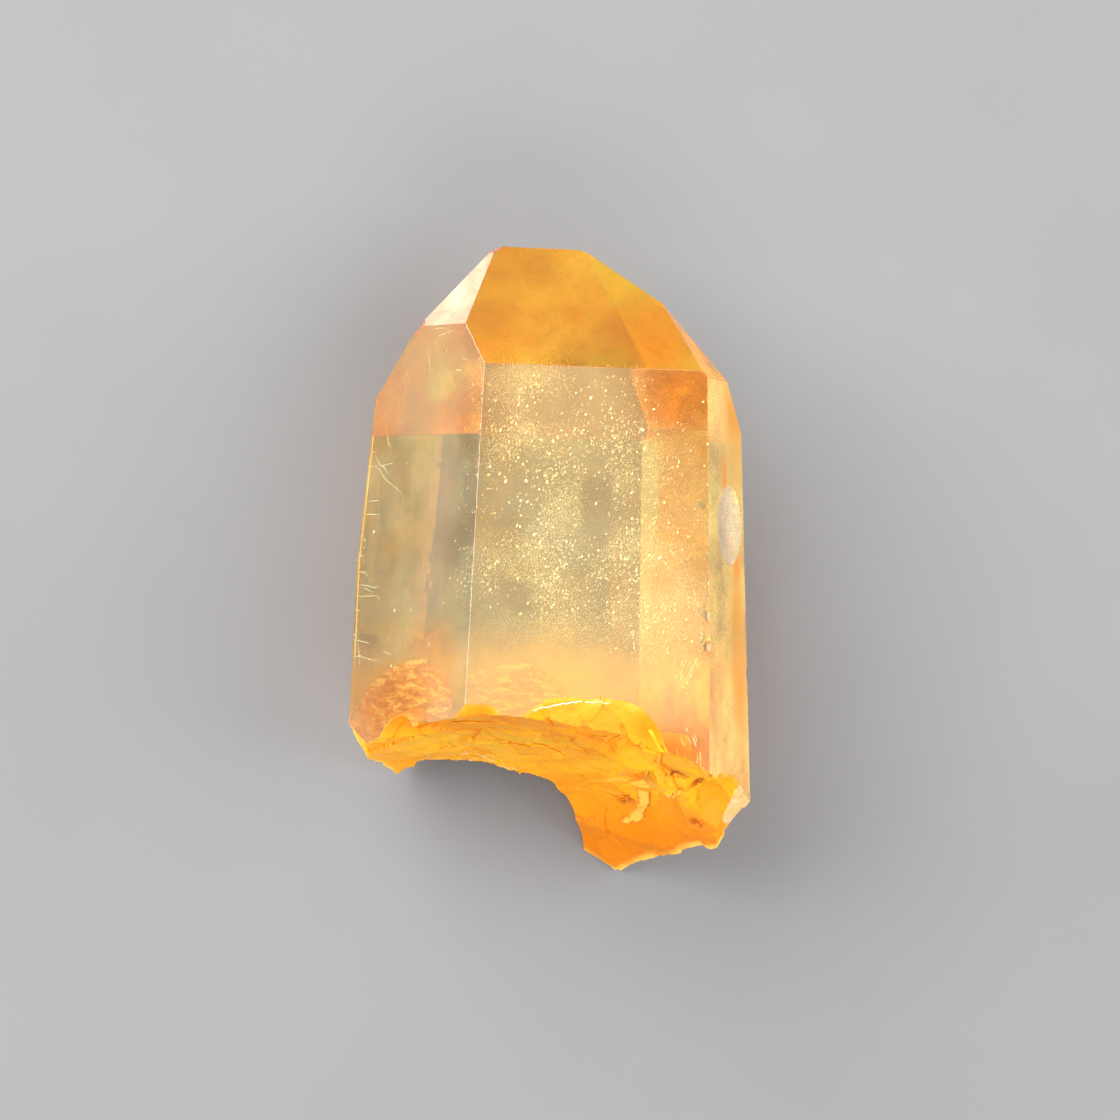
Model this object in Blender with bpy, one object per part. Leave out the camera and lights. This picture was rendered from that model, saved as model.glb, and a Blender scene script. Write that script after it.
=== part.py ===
"""A natural tangerine quartz point: one crystal, lying on its rear prism face.

The crystal is a hexagonal prism with slightly tapering faces, closed by six pyramid faces that
meet in a short chisel ridge.  Its root is an oblique shell-like (conchoidal) break.  Blender units
are metres and +Z is up.  The crystal is first grown in its own frame, in millimetres, with the c
axis along +Y, and is then tilted onto the rear prism face and centred over the origin.
"""

import math

import bmesh
import bpy
from mathutils import Matrix, Vector, noise

MM = 0.001
BLOCK = 80.0  # mm, the side of the cube that the crystal is cut from

# Growth faces.  Sector 0 faces up and the others follow at 60 degrees, counted towards -X.
SECTOR_ANGLE = 60.0
PYRAMID_SLOPE = 51.8  # degrees between a pyramid face and the basal plane of quartz
# sector: (distance from the crystal's centre in mm, degrees that the face leans to the tip)
PRISM_FACES = {
    0: (7.50, 3.3),
    1: (9.36, 3.5),
    2: (11.96, 4.8),
    3: (8.91, 3.3),
    4: (9.35, 2.5),
    5: (10.53, 2.7),
}
REAR_LEFT_FOOT = (2, 12.06, -0.5)  # the rear left face turns parallel to the axis near the root
PYRAMID_FACES = {0: 12.58, 1: 15.41, 2: 14.80, 3: 11.23, 4: 12.12, 5: 14.84}  # distances, mm
REST_FACE = 3

# The break, as a height along the c axis over the cross-section (x to the side, z to the front).
BREAK_LEVEL = -11.85  # mm, on the axis
BREAK_LEAN = (-0.311, 0.362)  # mm of height for each mm along x and z
BREAK_BOW = 0.0142  # 1/mm, how strongly the middle of the break is hollowed
BREAK_TWIST = 0.0133  # 1/mm
BREAK_DROOP = (-3.0, 0.02)  # x where the left side starts to droop in mm, and how much in 1/mm
BREAK_STEP = 0.35  # mm between the points of the break's surface
# Shells flaked off the break: centre x, z; bite below the main break; lean along x, z; reach
# along x, z.  All in mm.
SHELLS = {
    "front_bevel": ((0.5, 8.0), 1.62, (-0.02, 1.45), (3.8, 6.0)),
    "front_left": ((-6.4, 7.6), 0.35, (0.10, 0.80), (1.8, 2.4)),
    "front_middle": ((1.6, 4.0), 0.34, (-0.16, 0.62), (4.2, 2.5)),
    "middle": ((2.6, -1.8), 0.62, (-0.30, 0.40), (5.4, 4.9)),
    "crescent": ((5.4, 0.4), 1.00, (-0.10, 0.60), (0.8, 2.6)),
    "right_terrace": ((10.0, 4.9), 1.45, (-0.20, 0.10), (2.6, 3.4)),
    "right_edge": ((11.9, 1.3), 2.25, (0.32, 0.81), (1.8, 5.3)),
    "left_middle": ((-7.6, 1.2), 0.40, (-0.20, 0.46), (3.0, 2.6)),
    "rear_middle": ((-0.6, -8.8), 1.40, (-0.42, 0.10), (2.4, 2.6)),
    "rear_left": ((-3.4, -8.0), 5.00, (0.20, -1.55), (3.75, 9.6)),
    "left_corner": ((-12.6, -2.4), 2.05, (-1.20, 0.0), (2.0, 4.0)),
}
RIPPLE_HEIGHT = 0.16  # mm, the low waves that cross the whole break
RIPPLE_LENGTH = 2.6  # mm

# Small shells knocked off edges and corners: the faces that meet there, the height along the c
# axis where only two are named, the depth and the radius of the flake in mm.
CHIPS = {
    "tip_left": (("pyramid", 0), ("pyramid", 1), ("pyramid", 2), 0.24, 1.1),
    "tip_right": (("pyramid", 0), ("pyramid", 3), ("pyramid", 4), 0.16, 0.9),
    "left_shoulder": (("pyramid", 1), ("prism", 1), ("pyramid", 2), 0.24, 0.9),
    "front_right_nick_a": (("prism", 0), ("prism", 5), -3.1, 0.16, 0.55),
    "front_right_nick_b": (("prism", 0), ("prism", 5), -5.0, 0.20, 0.60),
    "right_edge_nick": (("prism", 4), ("prism", 5), -6.8, 0.14, 0.55),
}
# A round shallow flake scar on the front right prism face.
SCAR_SECTOR = 5
SCAR_CENTRE = (9.83, 2.40, 3.71)  # mm
SCAR_WIDTH = 4.5
SCAR_DEPTH = 0.30

CENTRE = (-0.22, -0.73)  # mm, the middle of the lying crystal's box along x and y

QUARTZ = {"color": (0.93, 0.56, 0.17, 1.0), "roughness": 0.06, "transmission": 0.85, "ior": 1.544}


def clear_scene():
    for obj in list(bpy.data.objects):
        bpy.data.objects.remove(obj, do_unlink=True)


def face_normal(sector, lean):
    """The outward normal of a face in a sector, leaning towards the tip by `lean` degrees."""
    around = math.radians(SECTOR_ANGLE * sector)
    up = math.radians(lean)
    return Vector((-math.sin(around) * math.cos(up), math.sin(up), math.cos(around) * math.cos(up)))


def face_plane(kind, sector):
    """The (normal, distance) of a growth face."""
    if kind == "pyramid":
        return face_normal(sector, 90.0 - PYRAMID_SLOPE), PYRAMID_FACES[sector]
    distance, lean = PRISM_FACES[sector]
    return face_normal(sector, lean), distance


def growth_planes():
    planes = [face_plane("prism", sector) for sector in PRISM_FACES]
    foot_sector, foot_distance, foot_lean = REAR_LEFT_FOOT
    planes.append((face_normal(foot_sector, foot_lean), foot_distance))
    planes += [face_plane("pyramid", sector) for sector in PYRAMID_FACES]
    return planes


def meeting_point(planes):
    """The point where three planes meet."""
    rows = Matrix([normal for normal, _ in planes])
    return rows.inverted() @ Vector([distance for _, distance in planes])


def new_object(name, bm):
    mesh = bpy.data.meshes.new(name)
    bm.to_mesh(mesh)
    bm.free()
    obj = bpy.data.objects.new(name, mesh)
    bpy.context.scene.collection.objects.link(obj)
    return obj


def grow_crystal():
    """A large block, cut back to every growth face in turn."""
    bm = bmesh.new()
    bmesh.ops.create_cube(bm, size=BLOCK)
    for normal, distance in growth_planes():
        everything = bm.verts[:] + bm.edges[:] + bm.faces[:]
        bmesh.ops.bisect_plane(
            bm, geom=everything, plane_co=normal * distance, plane_no=normal, clear_outer=True
        )
        rim = [edge for edge in bm.edges if edge.is_boundary]
        bmesh.ops.contextual_create(bm, geom=rim)
    bmesh.ops.recalc_face_normals(bm, faces=bm.faces[:])
    return new_object("crystal", bm)


def main_break_height(x, z):
    """The broad, slightly hollow and twisted surface of the break."""
    lean_x, lean_z = BREAK_LEAN
    bend = BREAK_TWIST * x * z - BREAK_BOW * (x * x + z * z)
    droop_start, droop = BREAK_DROOP
    bend -= droop * min(x - droop_start, 0.0) ** 2
    return BREAK_LEVEL + lean_x * x + lean_z * z + bend


def shell_height(shell, x, z):
    """A leaning dish that is nearly flat inside its reach and drops away quickly outside it."""
    (centre_x, centre_z), bite, (lean_x, lean_z), (reach_x, reach_z) = shell
    dx = x - centre_x
    dz = z - centre_z
    spread = (dx / reach_x) ** 2 + (dz / reach_z) ** 2
    middle = main_break_height(centre_x, centre_z) + bite
    return middle + lean_x * dx + lean_z * dz - spread**2


def break_height(x, z):
    """The height of the break along the c axis: the highest of the main break and its shells."""
    shells = [shell_height(shell, x, z) for shell in SHELLS.values()]
    height = max([main_break_height(x, z)] + shells)
    where = Vector((x, height, z)) / RIPPLE_LENGTH
    return height + RIPPLE_HEIGHT * noise.noise(where)


def break_cutter():
    """A block whose upper side is the break, wider than the crystal and reaching past its root."""
    half_width, half_depth, floor = 17.0, 13.0, -0.75 * BLOCK
    columns = round(2 * half_width / BREAK_STEP)
    rows = round(2 * half_depth / BREAK_STEP)
    bm = bmesh.new()
    bmesh.ops.create_grid(bm, x_segments=columns, y_segments=rows, size=1.0)
    for vert in bm.verts:
        x, z = vert.co.x * half_width, vert.co.y * half_depth
        vert.co = Vector((x, break_height(x, z), z))
    rim = [edge for edge in bm.edges if edge.is_boundary]
    skirt = bmesh.ops.extrude_edge_only(bm, edges=rim)["geom"]
    foot = [item for item in skirt if isinstance(item, bmesh.types.BMVert)]
    for vert in foot:
        vert.co.y = floor
    bmesh.ops.contextual_create(bm, geom=[edge for edge in bm.edges if edge.is_boundary])
    bmesh.ops.triangulate(bm, faces=bm.faces[:])
    bmesh.ops.recalc_face_normals(bm, faces=bm.faces[:])
    return new_object("break_cutter", bm)


def scoop_cutter(name, point, outward, depth, radius):
    """A ball that bites a round shell of this depth and radius out of the surface at a point."""
    ball_radius = (radius * radius + depth * depth) / (2 * depth)
    bm = bmesh.new()
    bmesh.ops.create_icosphere(bm, subdivisions=4, radius=ball_radius)
    bmesh.ops.translate(bm, verts=bm.verts[:], vec=point + outward * (ball_radius - depth))
    return new_object(name, bm)


def chip_cutter(name, chip):
    *where, depth, radius = chip
    faces = [face_plane(*item) for item in where if isinstance(item, tuple)]
    heights = [item for item in where if not isinstance(item, tuple)]
    along = [(Vector((0.0, 1.0, 0.0)), height) for height in heights]
    point = meeting_point(faces + along)
    outward = sum((normal for normal, _ in faces), Vector()).normalized()
    return scoop_cutter(f"chip_{name}", point, outward, depth, radius)


def cut(crystal, cutter):
    """Subtracts a cutter, which stays in the scene as a hidden wire guide."""
    cutter.hide_render = True
    cutter.display_type = "WIRE"
    cutter.parent = crystal
    boolean = crystal.modifiers.new(cutter.name, "BOOLEAN")
    boolean.operation = "DIFFERENCE"
    boolean.solver = "EXACT"
    boolean.object = cutter


def quartz_material():
    material = bpy.data.materials.new("tangerine_quartz")
    material.use_nodes = True
    shader = material.node_tree.nodes["Principled BSDF"]
    shader.inputs["Base Color"].default_value = QUARTZ["color"]
    shader.inputs["Metallic"].default_value = 0.0
    shader.inputs["Roughness"].default_value = QUARTZ["roughness"]
    shader.inputs["Transmission Weight"].default_value = QUARTZ["transmission"]
    shader.inputs["IOR"].default_value = QUARTZ["ior"]
    return material


def lay_down(objects):
    """Turns the millimetre meshes onto the rest face, centres them and scales them to metres."""
    _, lean = PRISM_FACES[REST_FACE]
    turn = Matrix.Rotation(math.radians(-lean), 4, "X")
    centre_x, centre_y = CENTRE
    lift = Matrix.Translation((-centre_x, -centre_y, PRISM_FACES[REST_FACE][0]))
    for obj in objects:
        obj.data.transform(Matrix.Scale(MM, 4) @ lift @ turn)


def main():
    clear_scene()
    crystal = grow_crystal()
    crystal.data.materials.append(quartz_material())
    cutters = [break_cutter()]
    cutters += [chip_cutter(name, chip) for name, chip in CHIPS.items()]
    scar_normal, _ = face_plane("prism", SCAR_SECTOR)
    scar = scoop_cutter("scar", Vector(SCAR_CENTRE), scar_normal, SCAR_DEPTH, SCAR_WIDTH / 2)
    cutters.append(scar)
    lay_down([crystal] + cutters)
    for cutter in cutters:
        cut(crystal, cutter)


main()
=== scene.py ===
"""Looks of a natural tangerine quartz point: clear, iron-stained quartz with inner glitter, veils,
cracks and a rough orange root, lying on a pale floor under soft studio light."""

import math
import random

import bmesh
import bpy
from mathutils import Matrix, Vector, noise


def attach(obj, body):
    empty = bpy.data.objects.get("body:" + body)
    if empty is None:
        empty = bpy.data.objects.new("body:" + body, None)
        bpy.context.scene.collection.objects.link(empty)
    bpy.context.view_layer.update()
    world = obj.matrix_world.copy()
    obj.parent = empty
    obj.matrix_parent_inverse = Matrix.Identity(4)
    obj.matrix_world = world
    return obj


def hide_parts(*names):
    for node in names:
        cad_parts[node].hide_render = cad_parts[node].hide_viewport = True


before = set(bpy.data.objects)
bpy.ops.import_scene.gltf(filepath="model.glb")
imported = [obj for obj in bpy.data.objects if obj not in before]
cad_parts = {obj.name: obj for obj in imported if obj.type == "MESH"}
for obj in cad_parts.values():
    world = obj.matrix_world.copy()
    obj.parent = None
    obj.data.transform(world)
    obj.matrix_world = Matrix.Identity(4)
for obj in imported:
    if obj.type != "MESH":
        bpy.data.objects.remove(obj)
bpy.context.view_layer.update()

MM = 0.001
BLOCK = 80.0  # mm, the side of the cube that the crystal is cut from

# ---- The crystal's driving dimensions, the same as the frame's, in mm and degrees ----
# The crystal's own frame has its tip towards +Y and its front face towards +Z.
SECTOR_ANGLE = 60.0
PYRAMID_SLOPE = 51.8
PRISM_FACES = {
    0: (7.50, 3.3),
    1: (9.36, 3.5),
    2: (11.96, 4.8),
    3: (8.91, 3.3),
    4: (9.35, 2.5),
    5: (10.53, 2.7),
}
REAR_LEFT_FOOT = (2, 12.06, -0.5)
PYRAMID_FACES = {0: 12.58, 1: 15.41, 2: 14.80, 3: 11.23, 4: 12.12, 5: 14.84}
REST_FACE = 3
CENTRE = (-0.22, -0.73)

BREAK_LEVEL = -11.85
BREAK_LEAN = (-0.311, 0.362)
BREAK_BOW = 0.0142
BREAK_TWIST = 0.0133
BREAK_DROOP = (-3.0, 0.02)
# Shells flaked off the break: centre x, z; bite; lean along x, z; reach along x, z.
SHELLS = {
    "front_bevel": ((0.5, 8.0), 1.62, (-0.02, 1.45), (3.8, 6.0)),
    "front_left": ((-6.4, 7.6), 0.35, (0.10, 0.80), (1.8, 2.4)),
    "front_middle": ((1.6, 4.0), 0.34, (-0.16, 0.62), (4.2, 2.5)),
    "middle": ((2.6, -1.8), 0.62, (-0.30, 0.40), (5.4, 4.9)),
    "crescent": ((5.4, 0.4), 1.00, (-0.10, 0.60), (0.8, 2.6)),
    "right_terrace": ((10.0, 4.9), 1.45, (-0.20, 0.10), (2.6, 3.4)),
    "right_edge": ((11.9, 1.3), 2.25, (0.32, 0.81), (1.8, 5.3)),
    "left_middle": ((-7.6, 1.2), 0.40, (-0.20, 0.46), (3.0, 2.6)),
    "rear_middle": ((-0.6, -8.8), 1.40, (-0.42, 0.10), (2.4, 2.6)),
    "rear_left": ((-3.4, -8.0), 5.00, (0.20, -1.55), (3.75, 9.6)),
    "left_corner": ((-12.6, -2.4), 2.05, (-1.20, 0.0), (2.0, 4.0)),
}
RIPPLE_HEIGHT = 0.16
RIPPLE_LENGTH = 2.6
BREAK_STEP = 0.10

CHIPS = {
    "tip_left": (("pyramid", 0), ("pyramid", 1), ("pyramid", 2), 0.24, 1.1),
    "tip_right": (("pyramid", 0), ("pyramid", 3), ("pyramid", 4), 0.16, 0.9),
    "left_shoulder": (("pyramid", 1), ("prism", 1), ("pyramid", 2), 0.24, 0.9),
    "front_right_nick_a": (("prism", 0), ("prism", 5), -3.1, 0.16, 0.55),
    "front_right_nick_b": (("prism", 0), ("prism", 5), -5.0, 0.20, 0.60),
    "right_edge_nick": (("prism", 4), ("prism", 5), -6.8, 0.14, 0.55),
}
SCAR_SECTOR = 5
SCAR_CENTRE = (9.83, 2.40, 3.71)
SCAR_WIDTH = 4.5
SCAR_DEPTH = 0.30
EDGE_WEAR = 0.025  # mm, the width of the worn line along each edge

# ---- Fine relief of the break, in mm ----
noise.seed_set(5)  # noise_vector draws on it
# Thin plates that split off the break: outline in x, z; how far each stands back; paleness.
PLATES = {
    "front_ledge": (
        [(-2.6, 9.5), (5.4, 9.5), (5.2, 7.9), (4.2, 6.9), (3.7, 4.1), (2.6, 3.4), (0.4, 4.4), (-1.6, 6.4)],
        0.22,
        0.15,
    ),
    "iron_hollow": (
        [(5.2, 7.8), (6.2, 8.6), (8.2, 8.0), (9.2, 5.4), (8.8, 2.6), (7.4, 2.4), (6.6, 4.2), (5.6, 5.6)],
        0.20,
        0.0,
    ),
    "cream_crease": (
        [(3.0, -3.9), (3.9, -3.1), (5.1, -2.2), (6.1, -1.5), (6.9, 0.6), (7.7, 2.8), (6.6, 1.6), (5.0, -1.4)],
        -0.12,
        0.8,
    ),
    "pale_lamella": (
        [(5.8, -2.7), (6.5, -2.1), (6.8, -3.4), (6.6, -4.9)]
        + [(6.0, -6.0), (5.4, -6.3), (5.9, -5.2), (6.2, -4.0)],
        -0.14,
        0.9,
    ),
}
PLATE_EDGE = 0.05  # mm on each side of an outline
# Where the stain has chipped off the break, as an outline in x, z.
FRESH_CHIP = [(11.2, 3.4), (10.95, 1.7), (10.65, 0.9), (10.7, 0.2), (11.1, -0.3), (13.5, -1.5), (13.5, 4.0)]
FACET_SIZE = 1.9
FACET_SQUEEZE = 0.8
FACET_STEP = 0.20
FACET_TILT = 0.14
FACET_WARP = 0.35
WARP_LENGTH = 2.3
FACET_PATCH_LENGTH = 4.0
# Each of these draws its own random value for a facet.
STEP_DRAW = 91.7
TILT_DRAW = 57.1
RUST_DRAW = 33.3
CRACK_WIDTH = 0.05  # as a share of the facet size
RIB_ORIGIN = (-9.0, 13.0)  # x, z of the blow that the curved ribs spread from
RIB_HEIGHT = 0.03
RIB_TURN = 5.2  # radians per mm
RIB_PATCH_LENGTH = 3.1
RIB_WANDER = 3.0  # radians
RIB_WANDER_LENGTH = 2.2
COARSE_GRAIN = 0.045
COARSE_GRAIN_LENGTH = 0.6
FINE_GRAIN = 0.02
FINE_GRAIN_LENGTH = 0.22
HACKLE_CENTRE = (-3.0, -8.6)
HACKLE_REACH = 5.5
HACKLE_HEIGHT = 0.16
HACKLE_WAVES = (1.3, 2.6)  # per mm along x and z
HACKLE_WARP = 0.8

# ---- The camera, in the crystal's own frame ----
LENS = 100.0
SENSOR = 36.0
CAMERA_SIDE = 9.55  # degrees that the camera stands to the left of the front face's upright
CAMERA_ROLL = 1.59
MM_PER_PIXEL = 38.0 / 611.0
IMAGE_SIZE = 1120
CAMERA_DISTANCE = IMAGE_SIZE * MM_PER_PIXEL * LENS / SENSOR

QUARTZ_IOR = 1.544
AIR_GAP = 0.0001  # m of air under the rest face, so that the face reflects inside as it does in air


def resting_transform():
    """From the crystal's own frame, in mm, to the part's frame, in metres."""
    distance, lean = PRISM_FACES[REST_FACE]
    turn = Matrix.Rotation(math.radians(-lean), 4, "X")
    lift = Matrix.Translation((-CENTRE[0], -CENTRE[1], distance))
    return Matrix.Scale(MM, 4) @ lift @ turn


TO_PART = resting_transform()


# ---- Growth faces and the break ----
def face_normal(sector, lean):
    around = math.radians(SECTOR_ANGLE * sector)
    up = math.radians(lean)
    return Vector((-math.sin(around) * math.cos(up), math.sin(up), math.cos(around) * math.cos(up)))


def face_plane(kind, sector):
    if kind == "pyramid":
        return face_normal(sector, 90.0 - PYRAMID_SLOPE), PYRAMID_FACES[sector]
    distance, lean = PRISM_FACES[sector]
    return face_normal(sector, lean), distance


def growth_planes():
    """Every growth face as {(kind, sector): (normal, distance)}."""
    planes = {("prism", sector): face_plane("prism", sector) for sector in PRISM_FACES}
    foot_sector, foot_distance, foot_lean = REAR_LEFT_FOOT
    planes["foot", foot_sector] = (face_normal(foot_sector, foot_lean), foot_distance)
    for sector in PYRAMID_FACES:
        planes["pyramid", sector] = face_plane("pyramid", sector)
    return planes


PLANES = growth_planes()


def meeting_point(planes):
    rows = Matrix([normal for normal, _ in planes])
    return rows.inverted() @ Vector([distance for _, distance in planes])


def main_break_height(x, z):
    lean_x, lean_z = BREAK_LEAN
    bend = BREAK_TWIST * x * z - BREAK_BOW * (x * x + z * z)
    droop_start, droop = BREAK_DROOP
    bend -= droop * min(x - droop_start, 0.0) ** 2
    return BREAK_LEVEL + lean_x * x + lean_z * z + bend


def shell_height(shell, x, z):
    (centre_x, centre_z), bite, (lean_x, lean_z), (reach_x, reach_z) = shell
    dx = x - centre_x
    dz = z - centre_z
    spread = (dx / reach_x) ** 2 + (dz / reach_z) ** 2
    middle = main_break_height(centre_x, centre_z) + bite
    return middle + lean_x * dx + lean_z * dz - spread**2


def break_height(x, z):
    shells = [shell_height(shell, x, z) for shell in SHELLS.values()]
    height = max([main_break_height(x, z)] + shells)
    where = Vector((x, height, z)) / RIPPLE_LENGTH
    return height + RIPPLE_HEIGHT * noise.noise(where)


def smooth(value, low, high):
    share = min(max((value - low) / (high - low), 0.0), 1.0)
    return share * share * (3.0 - 2.0 * share)


def depth_in_outline(x, z, outline):
    """Distance to the outline, positive inside it."""
    inside_it = False
    nearest = BLOCK
    for (ax, az), (bx, bz) in zip(outline, outline[1:] + outline[:1]):
        if (az > z) != (bz > z) and x < ax + (bx - ax) * (z - az) / (bz - az):
            inside_it = not inside_it
        run_x, run_z = bx - ax, bz - az
        share = ((x - ax) * run_x + (z - az) * run_z) / (run_x * run_x + run_z * run_z)
        share = min(max(share, 0.0), 1.0)
        nearest = min(nearest, math.hypot(x - ax - share * run_x, z - az - share * run_z))
    return nearest if inside_it else -nearest


def facet_relief(x, z):
    """Height of the small break facets, 1 on the cracks between them, and how stained each facet is."""
    warp = noise.noise_vector(Vector((x, z, 5.0)) / WARP_LENGTH) * FACET_WARP
    where = Vector((x * FACET_SQUEEZE, z, 0.0)) / FACET_SIZE + warp
    distances, points = noise.voronoi(where)
    height = FACET_STEP * (noise.cell(points[0] * STEP_DRAW) - 0.5)
    tilt = noise.noise_vector(points[0] * TILT_DRAW)
    away = where - points[0]
    height += FACET_TILT * (tilt.x * away.x + tilt.y * away.y) * 2.0
    rust = noise.cell(points[0] * RUST_DRAW)
    crack = 1.0 - smooth(distances[1] - distances[0], 0.0, CRACK_WIDTH)
    return height, crack, rust


def hackle_relief(x, z):
    """Short steep wrinkles at the rear left of the break."""
    centre_x, centre_z = HACKLE_CENTRE
    away = math.hypot(x - centre_x, z - centre_z)
    strength = 1.0 - smooth(away, 0.55 * HACKLE_REACH, HACKLE_REACH)
    waves_x, waves_z = HACKLE_WAVES
    warp = noise.noise_vector(Vector((x, z, 0.0))) * HACKLE_WARP
    wrinkle = noise.noise(Vector((x * waves_x, z * waves_z, 3.0)) + warp)
    return HACKLE_HEIGHT * strength * (1.0 - 2.0 * abs(wrinkle)) ** 3


def fine_relief(x, height, z):
    """Plates, facets, ribs, wrinkles and grain of the break, in mm, and how far it is a crack."""
    where = Vector((x, height, z))
    facets, crack, _ = facet_relief(x, z)
    offset = facets * (0.5 + 0.5 * smooth(noise.noise(where / FACET_PATCH_LENGTH), -0.3, 0.3))
    for outline, rise, _ in PLATES.values():
        depth = depth_in_outline(x, z, outline)
        offset += rise * smooth(depth, -PLATE_EDGE, PLATE_EDGE)
        crack = max(crack, 1.0 - smooth(abs(depth), 0.0, 1.6 * PLATE_EDGE))
    rib_distance = math.hypot(x - RIB_ORIGIN[0], z - RIB_ORIGIN[1])
    rib_strength = 0.5 + 0.5 * noise.noise(where / RIB_PATCH_LENGTH)
    rib_phase = rib_distance * RIB_TURN + RIB_WANDER * noise.noise(where / RIB_WANDER_LENGTH)
    offset += RIB_HEIGHT * rib_strength * math.sin(rib_phase)
    offset += hackle_relief(x, z)
    coarse = COARSE_GRAIN * noise.noise(where / COARSE_GRAIN_LENGTH)
    offset += coarse + FINE_GRAIN * noise.noise(where / FINE_GRAIN_LENGTH)
    return offset, crack


# ---- Mesh helpers ----
def new_object(name, bm):
    mesh = bpy.data.meshes.new(name)
    bm.to_mesh(mesh)
    bm.free()
    obj = bpy.data.objects.new(name, mesh)
    bpy.context.scene.collection.objects.link(obj)
    return obj


def grow_crystal():
    bm = bmesh.new()
    bmesh.ops.create_cube(bm, size=BLOCK)
    for normal, distance in PLANES.values():
        everything = bm.verts[:] + bm.edges[:] + bm.faces[:]
        bmesh.ops.bisect_plane(
            bm, geom=everything, plane_co=normal * distance, plane_no=normal, clear_outer=True
        )
        rim = [edge for edge in bm.edges if edge.is_boundary]
        bmesh.ops.contextual_create(bm, geom=rim)
    bmesh.ops.recalc_face_normals(bm, faces=bm.faces[:])
    bmesh.ops.bevel(bm, geom=bm.edges[:], offset=EDGE_WEAR, segments=1, affect="EDGES")
    return new_object("quartz_crystal", bm)


def break_cutter():
    half_width, half_depth, floor = 14.5, 11.5, -0.75 * BLOCK
    columns = round(2 * half_width / BREAK_STEP)
    rows = round(2 * half_depth / BREAK_STEP)
    bm = bmesh.new()
    bmesh.ops.create_grid(bm, x_segments=columns, y_segments=rows, size=1.0)
    for vert in bm.verts:
        x, z = vert.co.x * half_width, vert.co.y * half_depth
        height = break_height(x, z)
        offset, _ = fine_relief(x, height, z)
        vert.co = Vector((x, height + offset, z))
    rim = [edge for edge in bm.edges if edge.is_boundary]
    skirt = bmesh.ops.extrude_edge_only(bm, edges=rim)["geom"]
    for vert in [item for item in skirt if isinstance(item, bmesh.types.BMVert)]:
        vert.co.y = floor
    bmesh.ops.contextual_create(bm, geom=[edge for edge in bm.edges if edge.is_boundary])
    bmesh.ops.triangulate(bm, faces=bm.faces[:])
    bmesh.ops.recalc_face_normals(bm, faces=bm.faces[:])
    return new_object("break_cutter", bm)


def scoop_cutter(name, point, outward, depth, radius):
    ball_radius = (radius * radius + depth * depth) / (2 * depth)
    bm = bmesh.new()
    bmesh.ops.create_icosphere(bm, subdivisions=5, radius=ball_radius)
    bmesh.ops.translate(bm, verts=bm.verts[:], vec=point + outward * (ball_radius - depth))
    return new_object(name, bm)


def chip_cutter(name, chip):
    *where, depth, radius = chip
    faces = [face_plane(*item) for item in where if isinstance(item, tuple)]
    heights = [item for item in where if not isinstance(item, tuple)]
    along = [(Vector((0.0, 1.0, 0.0)), height) for height in heights]
    point = meeting_point(faces + along)
    outward = sum((normal for normal, _ in faces), Vector()).normalized()
    return scoop_cutter(f"chip_{name}", point, outward, depth, radius)


def carve(obj, cutters):
    """Subtracts the cutters, keeps the result in the mesh and removes the cutters."""
    for cutter in cutters:
        boolean = obj.modifiers.new(cutter.name, "BOOLEAN")
        boolean.operation = "DIFFERENCE"
        boolean.solver = "EXACT"
        boolean.object = cutter
    graph = bpy.context.evaluated_depsgraph_get()
    carved = bpy.data.meshes.new_from_object(obj.evaluated_get(graph))
    obj.modifiers.clear()
    obj.data = carved
    for cutter in cutters:
        bpy.data.objects.remove(cutter, do_unlink=True)


def point_on(face, x, y, depth=0.0):
    """The point of a growth face seen at x, y from the front, sunk by a depth."""
    normal, distance = PLANES[face]
    return Vector((x, y, (distance - depth - normal.x * x - normal.y * y) / normal.z))


# ---- Materials ----
ABSORPTION_COLOR = (1.0, 0.965, 0.42, 1.0)
ABSORPTION_DENSITY = 45.0  # per metre
FULL_SHARE = 0.2  # the share of a stain's reach over which it has its full strength


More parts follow.
